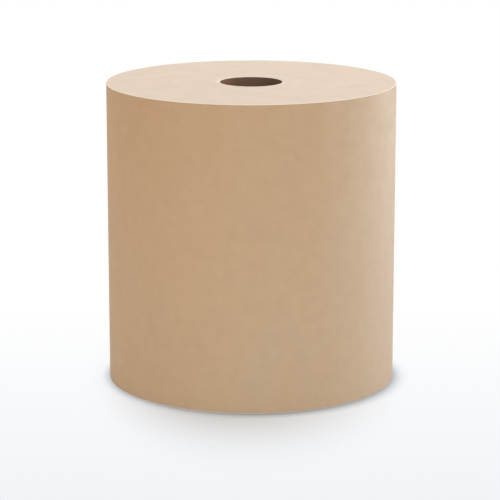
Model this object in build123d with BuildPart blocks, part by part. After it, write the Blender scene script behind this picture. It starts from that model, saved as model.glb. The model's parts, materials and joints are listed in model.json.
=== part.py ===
# Paper towel roll: one brown paper web wound on a paperboard core, standing on its end.
# Millimetres. The origin is the centre of the lower end, +Z runs up the roll's axis,
# and the loose end of the sheet, its tail, lies at the back, on +Y.

import os

from build123d import *

# Driving dimensions
roll_height = 200.0  # width of the web
roll_diameter = 192.0  # twice the reach of the tail, the outermost point of the winding
core_bore = 41.3  # clear hole that a dispenser's hub goes into
core_wall = 1.6  # thickness of the paperboard
core_setback = 0.4  # each end of the core stops this far inside the paper
tail_step = 0.3  # the tail stands this far proud of the turn beneath it
band_width = 4.3  # bands of turns wound tight and slack in turn
band_setback = 0.2  # the tight bands are drawn in this far at each end

# Sizes that follow from them
core_radius = core_bore / 2 + core_wall
tail_radius = roll_diameter / 2
winding_radius = tail_radius - tail_step  # top of the turn under the tail
band_pitch = 2 * band_width  # one tight band and one slack band
first_tight_radius = core_radius + band_width  # a slack band lies on the core
last_tight_radius = winding_radius - band_pitch  # and another one at the rim
band_turns = int((last_tight_radius - first_tight_radius) / band_pitch)
band_end_radius = first_tight_radius + band_turns * band_pitch


# A flat spiral from +Y, made of half circles: each one is tangent to the last,
# and adds half a pitch to the distance from the axis.
def spiral(start_radius, pitch, turns):
    for half_turn in range(2 * turns):
        side = 1 if half_turn % 2 == 0 else -1
        radius = start_radius + pitch * (2 * half_turn + 1) / 4
        CenterArc((0, -side * pitch / 4), radius, 90 * side, 180)


# The winding is one solid. Its outer wall is the last turn of the sheet, which ends
# in the tail's step. On both ends a shallow spiral of drawn-in turns winds from the
# core to the rim between spirals of turns that are flush.
with BuildPart() as wound_paper:
    with BuildSketch():
        with BuildLine():
            spiral(winding_radius, tail_step, 1)
            Line((0, winding_radius), (0, tail_radius))
        make_face()
        Circle(core_radius, mode=Mode.SUBTRACT)
    extrude(amount=roll_height)

    with BuildSketch(Plane.XY, Plane.XY.offset(roll_height - band_setback)):
        with BuildLine():
            spiral(first_tight_radius, band_pitch, band_turns)
            spiral(first_tight_radius + band_width, band_pitch, band_turns)
            Line((0, first_tight_radius), (0, first_tight_radius + band_width))
            Line((0, band_end_radius), (0, band_end_radius + band_width))
        make_face()
    extrude(amount=band_setback, mode=Mode.SUBTRACT)

# The core is a plain tube, tight in the winding and a little shorter than it.
with BuildPart() as core_tube:
    with BuildSketch(Plane.XY.offset(core_setback)):
        Circle(core_radius)
        Circle(core_bore / 2, mode=Mode.SUBTRACT)
    extrude(amount=roll_height - 2 * core_setback)

os.makedirs("parts", exist_ok=True)
wound_paper.part.label = "wound_paper"
export_step(wound_paper.part, "parts/wound_paper.step")
core_tube.part.label = "core_tube"
export_step(core_tube.part, "parts/core_tube.step")
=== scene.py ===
import json
import math

import bmesh
import bpy
from mathutils import Matrix, Vector, noise


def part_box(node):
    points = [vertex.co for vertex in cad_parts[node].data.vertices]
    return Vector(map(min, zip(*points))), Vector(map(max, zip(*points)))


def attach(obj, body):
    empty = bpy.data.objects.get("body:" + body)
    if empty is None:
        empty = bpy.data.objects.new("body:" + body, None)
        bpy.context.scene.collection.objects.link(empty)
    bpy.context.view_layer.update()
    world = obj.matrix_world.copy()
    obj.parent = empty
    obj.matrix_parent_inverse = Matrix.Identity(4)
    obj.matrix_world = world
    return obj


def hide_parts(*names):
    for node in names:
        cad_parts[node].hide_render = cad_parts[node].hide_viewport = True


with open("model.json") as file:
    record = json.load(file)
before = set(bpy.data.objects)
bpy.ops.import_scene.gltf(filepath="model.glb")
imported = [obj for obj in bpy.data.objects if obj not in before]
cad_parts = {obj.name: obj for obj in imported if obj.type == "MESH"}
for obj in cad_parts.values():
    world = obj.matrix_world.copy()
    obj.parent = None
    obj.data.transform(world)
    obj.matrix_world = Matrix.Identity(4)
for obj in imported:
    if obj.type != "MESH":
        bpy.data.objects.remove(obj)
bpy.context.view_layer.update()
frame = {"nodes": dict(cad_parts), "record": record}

print("frame loaded:", ", ".join(sorted(frame["nodes"])))

# Sizes read from the solids. Angles run counter-clockwise from +Y, where the tail lies.
paperLow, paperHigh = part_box("wound_paper")
coreLow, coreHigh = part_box("core_tube")
mounts = {mount["name"]: mount for mount in frame["record"]["mounts"]}
rollHeight = paperHigh.z
halfHeight = rollHeight / 2
tailStep = 2 * (paperHigh.y + paperLow.y)  # at the front the sheet has grown by half of it
turnRadius = paperHigh.y - tailStep  # top of the turn under the tail
coreRadius = coreHigh.x
boreRadius = mounts["core_bore"]["dims"]["r_mm"] / 1000
fullTurn = 2 * math.pi
mm = 0.001
sharpFrom = math.radians(40)  # edges that turn by more than this are shaded sharp


def polar(radius, angle, height):
    return Vector((-radius * math.sin(angle), radius * math.cos(angle), height))


def finishMesh(bm, name, materials):
    bmesh.ops.recalc_face_normals(bm, faces=bm.faces)
    mesh = bpy.data.meshes.new(name)
    bm.to_mesh(mesh)
    bm.free()
    mesh.shade_smooth()
    mesh.set_sharp_from_angle(angle=sharpFrom)
    for material in materials:
        mesh.materials.append(material)
    piece = bpy.data.objects.new(name, mesh)
    bpy.context.scene.collection.objects.link(piece)
    print(f"{name}: {len(mesh.vertices)} vertices, {len(mesh.polygons)} faces")
    return piece


# Shader helpers

def plugIn(tree, value, socket):
    if isinstance(value, bpy.types.NodeSocket):
        tree.links.new(value, socket)
    else:
        socket.default_value = value


def addNode(tree, kind, settings=None, **inputs):
    # an input goes in by its name, or by its number as i0, i1 and so on
    node = tree.nodes.new(kind)
    for key, value in (settings or {}).items():
        setattr(node, key, value)
    for key, value in inputs.items():
        numbered = key[0] == "i" and key[1:].isdigit()
        plugIn(tree, value, node.inputs[int(key[1:]) if numbered else key])
    return node


def math2(tree, operation, a, b=None, clamp=False):
    inputs = {"i0": a} if b is None else {"i0": a, "i1": b}
    settings = {"operation": operation, "use_clamp": clamp}
    return addNode(tree, "ShaderNodeMath", settings, **inputs).outputs[0]


def scaled(tree, value, factor):
    return math2(tree, "MULTIPLY", value, factor)


def mixColour(tree, factor, a, b, blend="MIX"):
    settings = {"data_type": "RGBA", "blend_type": blend}
    return addNode(tree, "ShaderNodeMix", settings, i0=factor, i6=a, i7=b).outputs[2]


def layOver(tree, tone, colour, mask, share):
    return mixColour(tree, scaled(tree, mask, share), tone, colour)


def vectorMath(tree, operation, output, *vectors):
    inputs = {f"i{k}": vector for k, vector in enumerate(vectors)}
    node = addNode(tree, "ShaderNodeVectorMath", {"operation": operation}, **inputs)
    return node.outputs[output]


def stretched(tree, vector, scale):
    return vectorMath(tree, "MULTIPLY", "Vector", vector, scale)


def noiseAt(tree, vector, scale, detail=2.0, roughness=0.5):
    return addNode(tree, "ShaderNodeTexNoise", {"noise_dimensions": "3D"}, Vector=vector,
                   Scale=scale, Detail=detail, Roughness=roughness).outputs[0]


def noiseAlong(tree, distance, scale, detail, roughness=0.5):
    return addNode(tree, "ShaderNodeTexNoise", {"noise_dimensions": "1D"}, W=distance,
                   Scale=scale, Detail=detail, Roughness=roughness).outputs[0]


def remap(tree, value, low, high, toLow=0.0, toHigh=1.0):
    return addNode(tree, "ShaderNodeMapRange", {"clamp": True}, i0=value, i1=low, i2=high,
                   i3=toLow, i4=toHigh).outputs[0]


def newGroup(name, inputs, outputs):
    tree = bpy.data.node_groups.new(name, "ShaderNodeTree")
    for label, kind, value in inputs:
        socket = tree.interface.new_socket(label, in_out="INPUT", socket_type=kind)
        if value is not None:
            socket.default_value = value
    for label, kind in outputs:
        tree.interface.new_socket(label, in_out="OUTPUT", socket_type=kind)
    return tree, tree.nodes.new("NodeGroupInput"), tree.nodes.new("NodeGroupOutput")


def useGroup(tree, group, **inputs):
    return addNode(tree, "ShaderNodeGroup", {"node_tree": group}, **inputs)


# Cloudy tone: two sizes of soft blotch, from 0 to 1 about a half
blotches = {
    "size": 60.0,
    "broadShare": 0.7,
    "broadRoughness": 0.45,
    "finerShare": 0.3,
    "finerTimes": 3.7,
    "from": 0.32,
    "to": 0.68,
}


def makeClouds(look):
    tree, given, out = newGroup(
        "cloudyTone",
        [("Vector", "NodeSocketVector", None), ("Size", "NodeSocketFloat", look["size"])],
        [("Tone", "NodeSocketFloat")],
    )
    vector, size = given.outputs["Vector"], given.outputs["Size"]
    broad = noiseAt(tree, vector, size, roughness=look["broadRoughness"])
    finer = noiseAt(tree, vector, scaled(tree, size, look["finerTimes"]))
    both = math2(tree, "ADD", scaled(tree, broad, look["broadShare"]),
                 scaled(tree, finer, look["finerShare"]))
    tree.links.new(remap(tree, both, look["from"], look["to"]), out.inputs["Tone"])
    return tree


# Paper fibres: short dark flecks along the vector's first axis, and pale ones along its second
flecks = {
    "size": 900.0,
    "along": (0.3, 1.0, 1.0),
    "across": (1.0, 0.35, 1.0),
    "acrossTimes": 1.3,
    "detail": 3.0,
    "roughness": 0.6,
    "dark": (0.62, 0.74),
    "pale": (0.61, 0.75),
}


def makeFibres(look):
    tree, given, out = newGroup(
        "paperFibres",
        [("Vector", "NodeSocketVector", None), ("Size", "NodeSocketFloat", look["size"])],
        [("Dark", "NodeSocketFloat"), ("Pale", "NodeSocketFloat"), ("Height", "NodeSocketFloat")],
    )
    vector, size = given.outputs["Vector"], given.outputs["Size"]
    first = noiseAt(tree, stretched(tree, vector, look["along"]), size,
                    look["detail"], look["roughness"])
    second = noiseAt(tree, stretched(tree, vector, look["across"]),
                     scaled(tree, size, look["acrossTimes"]), look["detail"], look["roughness"])
    tree.links.new(remap(tree, first, *look["dark"]), out.inputs["Dark"])
    tree.links.new(remap(tree, second, *look["pale"]), out.inputs["Pale"])
    tree.links.new(math2(tree, "ADD", first, second), out.inputs["Height"])
    return tree


cloudyTone = makeClouds(blotches)
paperFibres = makeFibres(flecks)
print("node groups made")


def cloudsAt(tree, vector, size):
    return useGroup(tree, cloudyTone, Vector=vector, Size=size).outputs["Tone"]


def fibresAt(tree, vector, size):
    return useGroup(tree, paperFibres, Vector=vector, Size=size).outputs


def newMaterial(name):
    material = bpy.data.materials.new(name)
    material.use_nodes = True
    tree = material.node_tree
    return material, tree, tree.nodes["Principled BSDF"]


def finishMaterial(tree, shader, look, tone, height, roughness):
    bump = addNode(tree, "ShaderNodeBump", Height=height, Strength=look["bump"],
                   Distance=look["bumpDepth"])
    plugIn(tree, tone, shader.inputs["Base Color"])
    plugIn(tree, bump.outputs[0], shader.inputs["Normal"])
    plugIn(tree, roughness, shader.inputs["Roughness"])
    shader.inputs["Specular IOR Level"].default_value = look["specular"]


def coordinates(tree):
    return tree.nodes.new("ShaderNodeTexCoord").outputs["Object"]


def axesOf(tree, vector):
    return addNode(tree, "ShaderNodeSeparateXYZ", Vector=vector).outputs


def fromMidHeight(tree, height):
    return math2(tree, "ABSOLUTE", math2(tree, "SUBTRACT", height, halfHeight))


def mottled(tree, tone, vector, look):
    value = remap(tree, cloudsAt(tree, vector, look["mottleSize"]), 0.0, 1.0,
                  1 - look["mottle"], 1 + look["mottle"])
    return mixColour(tree, 1.0, tone, value, "MULTIPLY")


# Outer sheet: brown crepe paper, mottled in upright bands
sheetPaper = {
    "warm": (0.536, 0.369, 0.228, 1),
    "grey": (0.521, 0.381, 0.247, 1),
    "bandSize": 36.0,
    "bandStretch": (1.0, 1.0, 0.35),
    "colour": (0.528, 0.374, 0.236, 1),
    "blotchSize": 110.0,
    "blotchShare": 0.4,
    "paintedShade": (0.508, 0.316, 0.172, 1),  # painted shade: the paper turns darker and warmer towards the upper left
    "paintedShadeWay": (-1.0, 0.0, 0.6),
    "paintedShadeFrom": 0 * mm,
    "paintedShadeTo": 200 * mm,
    "mottle": 0.026,  # how much darker and paler the paper is in places
    "mottleSize": 130.0,
    # painted shade: a dark line along both ends of the sheet
    "edgeShade": (0.40, 0.25, 0.14, 1),
    "edgeReach": 1.2 * mm,
    "edgeShare": 0.5,
    "fibreSize": 1100.0,
    "darkFibre": (0.34, 0.20, 0.11, 1),
    "darkShare": 0.22,
    "paleFibre": (0.66, 0.49, 0.34, 1),
    "paleShare": 0.2,
    "crepe": (2600.0, 2600.0, 260.0),
    "fibreHeight": 0.35,
    "bump": 0.25,
    "bumpDepth": 0.06 * mm,
    "roughness": 0.67,
    "roughnessSpread": 0.04,
    "specular": 0.25,
}


def makeSheetPaper(look):
    material, tree, shader = newMaterial("brownSheet")
    place = coordinates(tree)
    sheet = addNode(tree, "ShaderNodeUVMap", {"uv_map": "sheet"}).outputs[0]
    bands = cloudsAt(tree, stretched(tree, place, look["bandStretch"]), look["bandSize"])
    blotch = cloudsAt(tree, place, look["blotchSize"])
    fibres = fibresAt(tree, sheet, look["fibreSize"])
    tone = mixColour(tree, bands, look["warm"], look["grey"])
    tone = layOver(tree, tone, look["colour"], blotch, look["blotchShare"])
    # painted shade: the paper is darkened and warmed towards the upper left
    along = vectorMath(tree, "DOT_PRODUCT", "Value", place, look["paintedShadeWay"])
    tone = mixColour(tree, remap(tree, along, look["paintedShadeFrom"], look["paintedShadeTo"]),
                     tone, look["paintedShade"])
    tone = mottled(tree, tone, place, look)
    # painted shade: the sheet darkens within edgeReach of both ends, under the upper rim and at
    # the foot
    edge = remap(tree, fromMidHeight(tree, axesOf(tree, place)["Z"]),
                 halfHeight - look["edgeReach"], halfHeight)
    tone = layOver(tree, tone, look["edgeShade"], edge, look["edgeShare"])
    tone = layOver(tree, tone, look["darkFibre"], fibres["Dark"], look["darkShare"])
    tone = layOver(tree, tone, look["paleFibre"], fibres["Pale"], look["paleShare"])
    crepe = noiseAt(tree, stretched(tree, place, look["crepe"]), 1.0)
    height = math2(tree, "ADD", crepe, scaled(tree, fibres["Height"], look["fibreHeight"]))
    rough = remap(tree, blotch, 0.0, 1.0, look["roughness"] - look["roughnessSpread"],
                  look["roughness"] + look["roughnessSpread"])
    finishMaterial(tree, shader, look, tone, height, rough)
    return material


# Cut ends: the edges of the turns, paler than the sheet's face, ringed by the winding
cutPaper = {
    "deep": (0.701, 0.580, 0.467, 1),
    "pale": (0.735, 0.618, 0.507, 1),
    "wanderSize": 18.0,  # the rings aren't quite round
    "wanderDetail": 1.0,
    "wander": 0.4 * mm,
    "ringSize": 900.0,
    "ringDetail": 4.0,
    "ringRoughness": 0.6,
    "ringRange": (0.3, 0.7),
    "colour": (0.718, 0.599, 0.487, 1),
    "cloudSize": 40.0,
    "cloudShare": 0.5,
    "mottle": 0.035,
    "mottleSize": 50.0,
    "gap": (0.40, 0.29, 0.20, 1),  # painted shade between turns that are a little slack, in places; also the colour of the dark fibres
    "turnSize": 5200.0,
    "turnDetail": 1.0,
    "gapRange": (0.66, 0.8),
    "gapPlaces": (0.4, 0.9),
    "gapShare": 0.22,
    "fibreSize": 2600.0,
    "fibreShare": 0.1,
    "fibreHeight": 0.4,
    # painted highlight: a pale line along the outer rim and round the hole
    "rimHighlight": (0.82, 0.71, 0.60, 1),
    "rimHighlightReach": 0.9 * mm,
    "bump": 0.3,
    "bumpDepth": 0.05 * mm,
    "roughness": 0.8,
    "roughnessSpread": 0.06,
    "specular": 0.0,  # open cut edges have no gloss
}


def makeCutPaper(look):
    material, tree, shader = newMaterial("cutEnds")
    place = coordinates(tree)
    flat = stretched(tree, place, (1.0, 1.0, 0.0))
    radius = vectorMath(tree, "LENGTH", "Value", flat)
    wander = noiseAt(tree, flat, look["wanderSize"], look["wanderDetail"])
    wound = math2(tree, "ADD", radius, scaled(tree, wander, look["wander"]))
    rings = noiseAlong(tree, wound, look["ringSize"], look["ringDetail"], look["ringRoughness"])
    turns = noiseAlong(tree, wound, look["turnSize"], look["turnDetail"])
    clouds = cloudsAt(tree, flat, look["cloudSize"])
    fibres = fibresAt(tree, place, look["fibreSize"])
    tone = mixColour(tree, remap(tree, rings, *look["ringRange"]), look["deep"], look["pale"])
    tone = layOver(tree, tone, look["colour"], clouds, look["cloudShare"])
    tone = mottled(tree, tone, flat, look)
    # painted shade in the gaps between slack turns
    slack = math2(tree, "MULTIPLY", remap(tree, turns, *look["gapRange"]),
                  remap(tree, clouds, *look["gapPlaces"]))
    tone = layOver(tree, tone, look["gap"], slack, look["gapShare"])
    tone = layOver(tree, tone, look["gap"], fibres["Dark"], look["fibreShare"])
    # painted highlight along the outer rim and round the hole
    reach = look["rimHighlightReach"]
    outerHighlight = remap(tree, radius, turnRadius - reach, turnRadius - reach / 2)
    innerHighlight = remap(tree, radius, coreRadius + reach, coreRadius + reach / 2)
    tone = mixColour(tree, math2(tree, "MAXIMUM", outerHighlight, innerHighlight), tone, look["rimHighlight"])
    height = math2(tree, "ADD", turns, scaled(tree, fibres["Height"], look["fibreHeight"]))
    rough = remap(tree, rings, *look["ringRange"], look["roughness"] + look["roughnessSpread"],
                  look["roughness"] - look["roughnessSpread"])
    finishMaterial(tree, shader, look, tone, height, rough)
    return material


# Core board: dark brown paperboard, its plies wound on a slant
coreBoard = {
    "colour": (0.226, 0.138, 0.097, 1),
    "worn": (0.268, 0.162, 0.109, 1),
    "cloudSize": 110.0,
    "paintedLight": (0.43, 0.215, 0.125, 1),  # painted light: one side of the bore is warmer and paler inside both mouths, as if lit from the other side
    "paintedLightFrom": -11 * mm,
    "paintedLightTo": -21 * mm,
    "paintedLightReach": 40 * mm,
    "fibreSize": 1300.0,
    "paleFibre": (0.40, 0.27, 0.19, 1),
    "paleShare": 0.3,
    "seam": (0.110, 0.062, 0.040, 1),
    "seamShare": 0.8,
    "seamWidth": 0.6 * mm,
    "plyWidth": 47 * mm,
    "bump": 0.3,
    "bumpDepth": 0.06 * mm,
    "roughness": 0.9,
    "specular": 0.06,
}


def makeCoreBoard(look):
    material, tree, shader = newMaterial("coreBoard")
    place = coordinates(tree)
    axes = axesOf(tree, place)
    angle = math2(tree, "ARCTAN2", scaled(tree, axes["X"], -1.0), axes["Y"])
    climb = math2(tree, "SUBTRACT", math2(tree, "DIVIDE", axes["Z"], look["plyWidth"]),
                  math2(tree, "DIVIDE", angle, fullTurn))
    across = math2(tree, "SUBTRACT", math2(tree, "FRACT", climb), 0.5)  # 0.5 either way at a seam
    half = look["seamWidth"] / look["plyWidth"] / 2
    seam = remap(tree, math2(tree, "ABSOLUTE", across), 0.5 - 2 * half, 0.5 - half)
    clouds = cloudsAt(tree, place, look["cloudSize"])
    fibres = fibresAt(tree, place, look["fibreSize"])
    tone = mixColour(tree, clouds, look["colour"], look["worn"])
    # painted light: the bore's wall near both mouths is warmer and paler on its -X side
    mouth = remap(tree, fromMidHeight(tree, axes["Z"]), halfHeight - look["paintedLightReach"],
                  halfHeight - look["paintedLightReach"] / 2)
    paintedLightSide = remap(tree, axes["X"], look["paintedLightFrom"], look["paintedLightTo"])
    tone = layOver(tree, tone, look["paintedLight"], mouth, paintedLightSide)
    tone = layOver(tree, tone, look["paleFibre"], fibres["Pale"], look["paleShare"])
    tone = layOver(tree, tone, look["seam"], seam, look["seamShare"])
    finishMaterial(tree, shader, look, tone, fibres["Height"], look["roughness"])
    return material


# Cut board: the core's two ends, paler than its faces and as pale as the painted highlight on the
# cut paper's rims, so they also paint a bright line round the bore's mouth
cutBoard = {
    "colour": (0.86, 0.75, 0.63, 1),
    "deep": (0.80, 0.69, 0.57, 1),
    "cloudSize": 400.0,
    "fibreSize": 2200.0,
    "darkFibre": (0.44, 0.32, 0.22, 1),
    "darkShare": 0.2,
    "bump": 0.35,
    "bumpDepth": 0.06 * mm,
    "roughness": 0.8,
    "specular": 0.0,
}


def makeCutBoard(look):
    material, tree, shader = newMaterial("cutBoard")
    place = coordinates(tree)
    fibres = fibresAt(tree, place, look["fibreSize"])
    tone = mixColour(tree, cloudsAt(tree, place, look["cloudSize"]), look["deep"], look["colour"])
    tone = layOver(tree, tone, look["darkFibre"], fibres["Dark"], look["darkShare"])
    finishMaterial(tree, shader, look, tone, fibres["Height"], look["roughness"])
    return material


brownSheet = makeSheetPaper(sheetPaper)
cutEnds = makeCutPaper(cutPaper)
boreBoard = makeCoreBoard(coreBoard)
cutBoardEnds = makeCutBoard(cutBoard)
print("paper and board materials made")

# Winding: the outer turn with its tail, and both ends as one spiral of turns
winding = {
    "columns": 180,
    "turns": 84,
    "grooveDepth": 0.03 * mm,
    "bandWidth": 4.3 * mm,
    "bandDepth": 0.05 * mm,
    "waver": 0.015 * mm,
    "waverAcross": 700,
    "waverAround": 0.4,
    "rimRadius": 0.4 * mm,
    "rimSteps": 3,
    "wallFrom": 1.6,  # rim radii from each end to the plain wall
    "wallRows": 40,
    "lastTurn": 2.5,  # rim radii from the last ridge to the wall
    "streakDepth": 0.05 * mm,
    "streaksAround": 4.0,
    "streaksUp": 9,
    "gaugeDepth": 0.04 * mm,
    "gaugeStart": (3.1, 7.7),
    "gaugeUp": 60,
    "sheetThickness": 0.12 * mm,
    "tailColumns": 4,
    "tailLift": 0.05 * mm,
    "cornerLift": 0.2 * mm,
    "cornerReach": 22 * mm,
}


def unitNoise(point):
    return 0.5 + 0.5 * noise.noise(point)


def sheetRelief(look, angle, height):
    around = Vector((math.cos(angle), math.sin(angle), 0.0)) * look["streaksAround"]
    streak = unitNoise(around + Vector((0, 0, height * look["streaksUp"])))
    gauge = unitNoise(Vector((*look["gaugeStart"], height * look["gaugeUp"])))
    return look["streakDepth"] * streak + look["gaugeDepth"] * gauge


def endDrop(look, radius, angle):
    # how far a turn is drawn in: wide bands of tight turns, and each turn's own waver
    pitch = 2 * look["bandWidth"]
    phase = (radius - coreRadius - look["bandWidth"]) / pitch - angle / fullTurn
    band = 0.5 + 0.5 * math.sin(fullTurn * phase)
    around = look["waverAround"]
    own = unitNoise(Vector((radius * look["waverAcross"],
                            around * math.cos(angle), around * math.sin(angle))))
    return look["bandDepth"] * band + look["waver"] * own


def wallProfile(look):
    # pairs of height and inset from the lower end to the upper, round at both rims
    rim, steps = look["rimRadius"], look["rimSteps"]
    turnUp = [k * math.pi / 2 / steps for k in range(steps + 1)]
    lower = [(rim * (1 - math.cos(a)), rim * (1 - math.sin(a))) for a in turnUp]
    start = look["wallFrom"] * rim
    span = rollHeight - 2 * start
    middle = [(start + span * k / look["wallRows"], 0.0) for k in range(look["wallRows"] + 1)]
    upper = [(rollHeight - height, inset) for height, inset in reversed(lower)]
    return lower + middle + upper


def tailLiftAt(look, height):
    fromTop = (rollHeight - height) / look["cornerReach"]
    return look["tailLift"] + look["cornerLift"] * math.exp(-fromTop * fromTop)


def buildWall(bm, look):
    # outer: the sheet's face, one point more than there are columns, because it ends at the tail
    # under: the tail's inner face; lower: the turn beneath it, which goes on as the sheet's start
    columns, crease = look["columns"], look["columns"] - look["tailColumns"]
    rows = []
    for height, inset in wallProfile(look):
        outer, under, lower = [], {}, {}
        for i in range(columns + 1):
            angle = fullTurn * i / columns
            share = max(0, i - crease) / look["tailColumns"]
            worn = inset + sheetRelief(look, angle, height)
            lift = tailLiftAt(look, height) * share ** 2
            face = turnRadius + tailStep * i / columns + lift - worn
            outer.append(bm.verts.new(polar(face, angle, height)))
            if i >= crease:
                beneath = turnRadius - tailStep * (columns - i) / columns - worn
                inner = beneath + (face - look["sheetThickness"] - beneath) * share
                under[i] = bm.verts.new(polar(inner, angle, height))
                if i == crease:
                    lower[i] = under[i]
                elif i == columns:
                    lower[i] = outer[0]
                else:
                    lower[i] = bm.verts.new(polar(beneath, angle, height))
        rows.append((outer, under, lower))
    return rows


def skinWall(bm, look, rows, sheetUv):
    columns, crease = look["columns"], look["columns"] - look["tailColumns"]
    rim = look["rimSteps"]
    for k, (below, above) in enumerate(zip(rows, rows[1:])):
        material = 0 if rim <= k < len(rows) - 1 - rim else 1
        tail = range(crease, columns)
        bands = [(below[0], above[0], range(columns)), (below[2], above[2], tail),
                 (below[1], above[1], tail)]
        for low, high, span in bands:
            for i in span:
                face = bm.faces.new((low[i], low[i + 1], high[i + 1], high[i]))
                face.material_index = material
                for loop, column in zip(face.loops, (i, i + 1, i + 1, i)):
                    run = turnRadius * fullTurn * column / columns
                    loop[sheetUv].uv = (run, loop.vert.co.z)
        edge = bm.faces.new((below[0][columns], below[1][columns],
                             above[1][columns], above[0][columns]))
        edge.material_index = 1


def buildEnd(bm, look, row, upper):
    # one line of ridges and one of grooves wind out from the core, and meet the wall's last row
    columns, crease = look["columns"], look["columns"] - look["tailColumns"]
    outer, under, lower = row
    start = coreRadius + look["rimRadius"]
    pitch = (turnRadius - look["lastTurn"] * look["rimRadius"] - start) / look["turns"]
    total = look["turns"] * columns
    side = 1 if upper else -1
    level = rollHeight if upper else 0.0

    def point(radius, angle, drop):
        return bm.verts.new(polar(radius, angle, level - side * drop))

    def face(*corners):
        bm.faces.new(corners).material_index = 1

    def fanOut(first, others):
        for a, b in zip(others, others[1:]):
            face(first, a, b)

    holeDrop = look["rimRadius"] / 2
    hole = [point(coreRadius, fullTurn * i / columns, holeDrop) for i in range(columns)]
    ridge, groove = [], []
    for t in range(total + 1):
        angle = fullTurn * (t % columns) / columns
        radius = start + pitch * t / columns
        ridge.append(point(radius, angle, endDrop(look, radius, angle)))
        if t <= total - columns:
            middle = radius + pitch / 2
            groove.append(point(middle, angle, endDrop(look, middle, angle) + look["grooveDepth"]))

    for t in range(total - columns):
        face(ridge[t], ridge[t + 1], groove[t + 1], groove[t])
        face(groove[t], groove[t + 1], ridge[t + 1 + columns], ridge[t + columns])
    for i in range(columns - 1):
        face(hole[i], hole[i + 1], ridge[i + 1], ridge[i])
    fanOut(ridge[columns - 1], [hole[-1], hole[0], ridge[0], groove[0], ridge[columns]])
    inner = ridge[total - columns:]
    for i in range(1, columns):
        edge = outer if i < crease else lower
        if i == crease - 1:
            face(inner[i], inner[i + 1], lower[crease], outer[crease], outer[i])
        else:
            face(inner[i], inner[i + 1], edge[i + 1], edge[i])
    for i in range(crease, columns):
        face(under[i], under[i + 1], outer[i + 1], outer[i])
    fanOut(inner[1], [outer[1], outer[0], inner[columns], groove[-1], inner[0]])
    return hole


def buildWinding(look):
    bm = bmesh.new()
    sheetUv = bm.loops.layers.uv.new("sheet")
    rows = buildWall(bm, look)
    skinWall(bm, look, rows, sheetUv)
    bottomHole = buildEnd(bm, look, rows[0], upper=False)
    topHole = buildEnd(bm, look, rows[-1], upper=True)
    columns = look["columns"]
    for i in range(columns):
        j = (i + 1) % columns
        corners = (bottomHole[i], bottomHole[j], topHole[j], topHole[i])
        bm.faces.new(corners).material_index = 1
    return finishMesh(bm, "paper_winding", [brownSheet, cutEnds])


paperWinding = buildWinding(winding)
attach(paperWinding, "root")
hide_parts("wound_paper")

# Core: a tube of plies wound on a slant, with their seams sunk in the bore's wall
core = {
    "columns": 96,
    "plyRows": (0.34, 0.66),  # lines along each ply, as shares of its width
    "seamDepth": 0.15 * mm,
    "plies": 3,
    "plyGroove": 0.12 * mm,
    "plyGap": 0.1 * mm,
    "looseFit": 0.05 * mm,
    "endSlope": 0.5,  # a face that looks up or down by more than this belongs to an end
    "levelWithin": 0.001 * mm,
}
coreEnds = ((coreHigh.z, 1), (coreLow.z, -1))


def buildBore(bm, look):
    # the plies' lines climb as one helix, past both ends, and are then cut level
    columns, pitch = look["columns"], coreBoard["plyWidth"]
    half = coreBoard["seamWidth"] / 2 / pitch
    across = [(0.0, look["seamDepth"]), (half, 0.0)]
    across += [(share, 0.0) for share in look["plyRows"]] + [(1 - half, 0.0)]
    turns = math.ceil((coreHigh.z - coreLow.z) / pitch) + 2
    lines = []
    for turn in range(-1, turns):
        for share, depth in across:
            lines.append([bm.verts.new(polar(boreRadius + depth, fullTurn * i / columns,
                                             pitch * (turn + share + i / columns)))
                          for i in range(columns)])
    for k in range(len(lines) - 1):
        for i in range(columns - 1):
            bm.faces.new((lines[k][i], lines[k][i + 1], lines[k + 1][i + 1], lines[k + 1][i]))
        if k + 1 + len(across) < len(lines):
            a, b = lines[k + len(across)][0], lines[k + 1 + len(across)][0]
            bm.faces.new((lines[k][-1], a, b, lines[k + 1][-1]))
    for height, up in coreEnds:
        everything = bm.verts[:] + bm.edges[:] + bm.faces[:]
        bmesh.ops.bisect_plane(bm, geom=everything, plane_co=(0, 0, height),
                               plane_no=(0, 0, up), clear_outer=True)


def joinRings(bm, first, second):
    for i in range(len(first)):
        j = (i + 1) % len(first)
        bm.faces.new((first[i], first[j], second[j], second[i]))


def buildCoreEnd(bm, look, height, up):
    # rings out from the bore's mouth, with a groove between the edges of two plies
    columns, gap = look["columns"], look["plyGap"]
    wall = coreRadius - look["looseFit"] - boreRadius
    mouth = [edge for edge in bm.edges if edge.is_boundary
             and all(abs(vert.co.z - height) < look["levelWithin"] for vert in edge.verts)]
    profile = []
    for ply in range(1, look["plies"]):
        middle = wall * ply / look["plies"]
        profile += [(middle - gap, 0.0), (middle, look["plyGroove"]), (middle + gap, 0.0)]
    profile.append((wall, 0.0))
    ring = None
    for reach, drop in profile:
        level = height - up * drop
        fresh = [bm.verts.new(polar(boreRadius + reach, fullTurn * i / columns, level))
                 for i in range(columns)]
        if ring is None:
            rim = [bm.edges.new((fresh[i], fresh[(i + 1) % columns])) for i in range(columns)]
            bmesh.ops.triangle_fill(bm, use_beauty=True, edges=mouth + rim, normal=(0, 0, up))
        else:
            joinRings(bm, ring, fresh)
        ring = fresh
    return ring


def buildCore(look):
    bm = bmesh.new()
    buildBore(bm, look)
    top, bottom = [buildCoreEnd(bm, look, height, up) for height, up in coreEnds]
    joinRings(bm, bottom, top)
    bm.normal_update()
    for face in bm.faces:
        face.material_index = 1 if abs(face.normal.z) > look["endSlope"] else 0
    return finishMesh(bm, "core_sleeve", [boreBoard, cutBoardEnds])


coreSleeve = buildCore(core)
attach(coreSleeve, "root")
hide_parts("core_tube")

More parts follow.
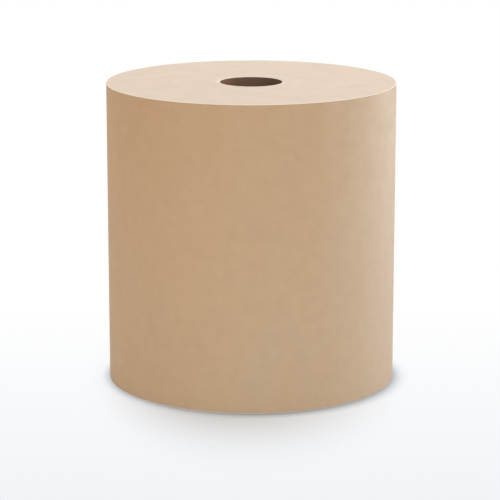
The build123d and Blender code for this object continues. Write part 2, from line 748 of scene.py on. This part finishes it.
# Floor: a pale sweep, white behind the roll and cooler towards the camera
floor = {
    "reach": 6.0,
    "white": (1.0, 1.0, 1.0, 1),
    "cool": (0.880, 0.900, 0.928, 1),
    "coolFrom": 0.17,
    "coolTo": -0.28,
    "litTo": 0.075,  # near the roll the floor takes light and shade
    "plainFrom": 0.23,  # and from here on it is plain backdrop
    "litShape": (2.0, 1.0, 1.0),  # narrower at the sides
    "shade": (0.925, 0.957, 0.98, 1),
    "bounce": (0.97, 0.97, 0.97, 1),  # what the floor gives back to the roll
    "ringShade": (0.61, 0.63, 0.645, 1),  # its tone all round where the roll meets it
    "ringReach": 7 * mm,
    "ringFull": 0.5,  # full shade where only this much of the sky is open
    "contactShade": (0.54, 0.57, 0.60, 1),  # more shade, in front and to the right
    "contactReach": 12 * mm,
    "contactFull": 0.3,
    "contactLean": (-0.42, 0.82, 0.38),
    "contactFall": 1.4,  # how fast both fade
    "contactPlain": 0.9,  # and how much of them the plain part has
    "passUnder": 0.5 * mm,  # shorter rays pass, so the lower end is lit when seen from below
    "roughness": 0.2,
    "specular": 0.2,
}


def seenRay(tree):
    path = tree.nodes.new("ShaderNodeLightPath")
    seen = math2(tree, "ADD", path.outputs["Is Camera Ray"], path.outputs["Is Glossy Ray"])
    return math2(tree, "ADD", seen, path.outputs["Is Transmission Ray"], clamp=True)


def contactShade(tree, look, name, **normal):
    clear = addNode(tree, "ShaderNodeAmbientOcclusion", Distance=look[name + "Reach"], **normal)
    near = remap(tree, clear.outputs["AO"], 1.0, look[name + "Full"])
    near = math2(tree, "POWER", near, look["contactFall"])
    return mixColour(tree, near, look["white"], look[name + "Shade"])


def makePaleFloor(look):
    material, tree, shader = newMaterial("paleFloor")
    place = coordinates(tree)
    seen = seenRay(tree)
    depth = remap(tree, axesOf(tree, place)["Y"], look["coolFrom"], look["coolTo"])
    tone = mixColour(tree, depth, look["white"], look["cool"])
    lean = vectorMath(tree, "NORMALIZE", "Vector", look["contactLean"])
    contact = mixColour(tree, 1.0, contactShade(tree, look, "contact", Normal=lean),
                        contactShade(tree, look, "ring"), "MULTIPLY")
    lit = mixColour(tree, 1.0, tone, look["shade"], "MULTIPLY")
    lit = mixColour(tree, 1.0, lit, contact, "MULTIPLY")
    plugIn(tree, mixColour(tree, seen, look["bounce"], lit), shader.inputs["Base Color"])
    shader.inputs["Roughness"].default_value = look["roughness"]
    shader.inputs["Specular IOR Level"].default_value = look["specular"]
    plainTone = mixColour(tree, look["contactPlain"], tone, contact, "MULTIPLY")
    plain = addNode(tree, "ShaderNodeEmission", Color=plainTone, Strength=1.0)
    away = vectorMath(tree, "LENGTH", "Value", stretched(tree, place, look["litShape"]))
    far = addNode(tree, "ShaderNodeMapRange", {"interpolation_type": "SMOOTHSTEP"}, i0=away,
                  i1=look["litTo"], i2=look["plainFrom"]).outputs[0]
    show = addNode(tree, "ShaderNodeMixShader", i0=math2(tree, "MULTIPLY", far, seen),
                   i1=shader.outputs[0], i2=plain.outputs[0])
    behind = tree.nodes.new("ShaderNodeNewGeometry").outputs["Backfacing"]
    rayLength = tree.nodes.new("ShaderNodeLightPath").outputs["Ray Length"]
    passes = math2(tree, "LESS_THAN", rayLength, look["passUnder"])
    nothing = tree.nodes.new("ShaderNodeBsdfTransparent")
    show = addNode(tree, "ShaderNodeMixShader", i0=math2(tree, "MAXIMUM", behind, passes),
                   i1=show.outputs[0], i2=nothing.outputs[0])
    tree.links.new(show.outputs[0], tree.nodes["Material Output"].inputs["Surface"])
    return material


def layFloor(look):
    mesh = bpy.data.meshes.new("floor")
    r = look["reach"]
    mesh.from_pydata([(-r, -r, 0), (r, -r, 0), (r, r, 0), (-r, r, 0)], [], [(0, 1, 2, 3)])
    mesh.materials.append(makePaleFloor(look))
    piece = bpy.data.objects.new("floor", mesh)
    bpy.context.scene.collection.objects.link(piece)


layFloor(floor)

# Light: an even white room, a box in front at the right, one overhead, a low fill at the left,
# and at the right a strip that only gives the sheet its soft gloss
lamps = {
    "keyBox": {"at": (2.20, -2.50, 2.10), "size": (1.4, 1.0), "watts": 38.5, "gloss": False},
    "overheadBox": {"at": (0.25, 0.40, 1.50), "size": (1.4, 1.0), "watts": 11.0, "gloss": False},
    "leftFill": {"at": (-1.15, -0.85, 0.10), "size": (1.0, 0.2), "watts": 4.6, "gloss": False},
    "glossStrip": {"at": (1.30, 0.35, 0.12), "size": (1.9, 0.24), "watts": 36.3, "gloss": True},
}
room = {"colour": (1, 1, 1, 1), "ambient": 0.55, "backdrop": 1.0}


def addLamps(plan, aim, glossOn):
    glossy = bpy.data.collections.new("glossyPieces")
    glossy.objects.link(glossOn)
    for name, lamp in plan.items():
        light = bpy.data.lights.new(name, "AREA")
        light.shape = "RECTANGLE"
        light.size, light.size_y = lamp["size"]
        light.energy = lamp["watts"]
        body = bpy.data.objects.new(name, light)
        body.location = lamp["at"]
        body.rotation_euler = (aim - body.location).to_track_quat("-Z", "Y").to_euler()
        body.visible_diffuse = not lamp["gloss"]
        body.visible_glossy = lamp["gloss"]
        body.visible_camera = False
        if lamp["gloss"]:
            body.light_linking.receiver_collection = glossy
        bpy.context.scene.collection.objects.link(body)


def makeRoom(look):
    world = bpy.data.worlds.new("room")
    world.use_nodes = True
    tree = world.node_tree
    background = tree.nodes["Background"].inputs
    strength = remap(tree, seenRay(tree), 0.0, 1.0, look["ambient"], look["backdrop"])
    tree.links.new(strength, background["Strength"])
    background["Color"].default_value = look["colour"]
    bpy.context.scene.world = world


addLamps(lamps, Vector((0, 0, halfHeight)), paperWinding)
makeRoom(room)
print("floor and light set")

# Camera: where the photograph's outline puts it
camera = {
    "focalPixels": 2299.4,
    "imagePixels": 500,
    "sensorWidth": 36.0,
    "pitch": 12.95,
    "distance": 1.5453,
    "target": (-0.0008, 0.0, 0.0855),
}


def addCamera(look):
    data = bpy.data.cameras.new("camera")
    data.sensor_width = look["sensorWidth"]
    data.lens = look["focalPixels"] * look["sensorWidth"] / look["imagePixels"]
    pitch = math.radians(look["pitch"])
    back = Vector((0, -math.cos(pitch), math.sin(pitch)))
    body = bpy.data.objects.new("camera", data)
    turn = (-back).to_track_quat("-Z", "Y").to_matrix().to_4x4()
    body.matrix_world = Matrix.Translation(Vector(look["target"]) + back * look["distance"]) @ turn
    bpy.context.scene.collection.objects.link(body)
    bpy.context.scene.camera = body


addCamera(camera)
bpy.context.scene.view_settings.view_transform = "Standard"
print("camera placed")
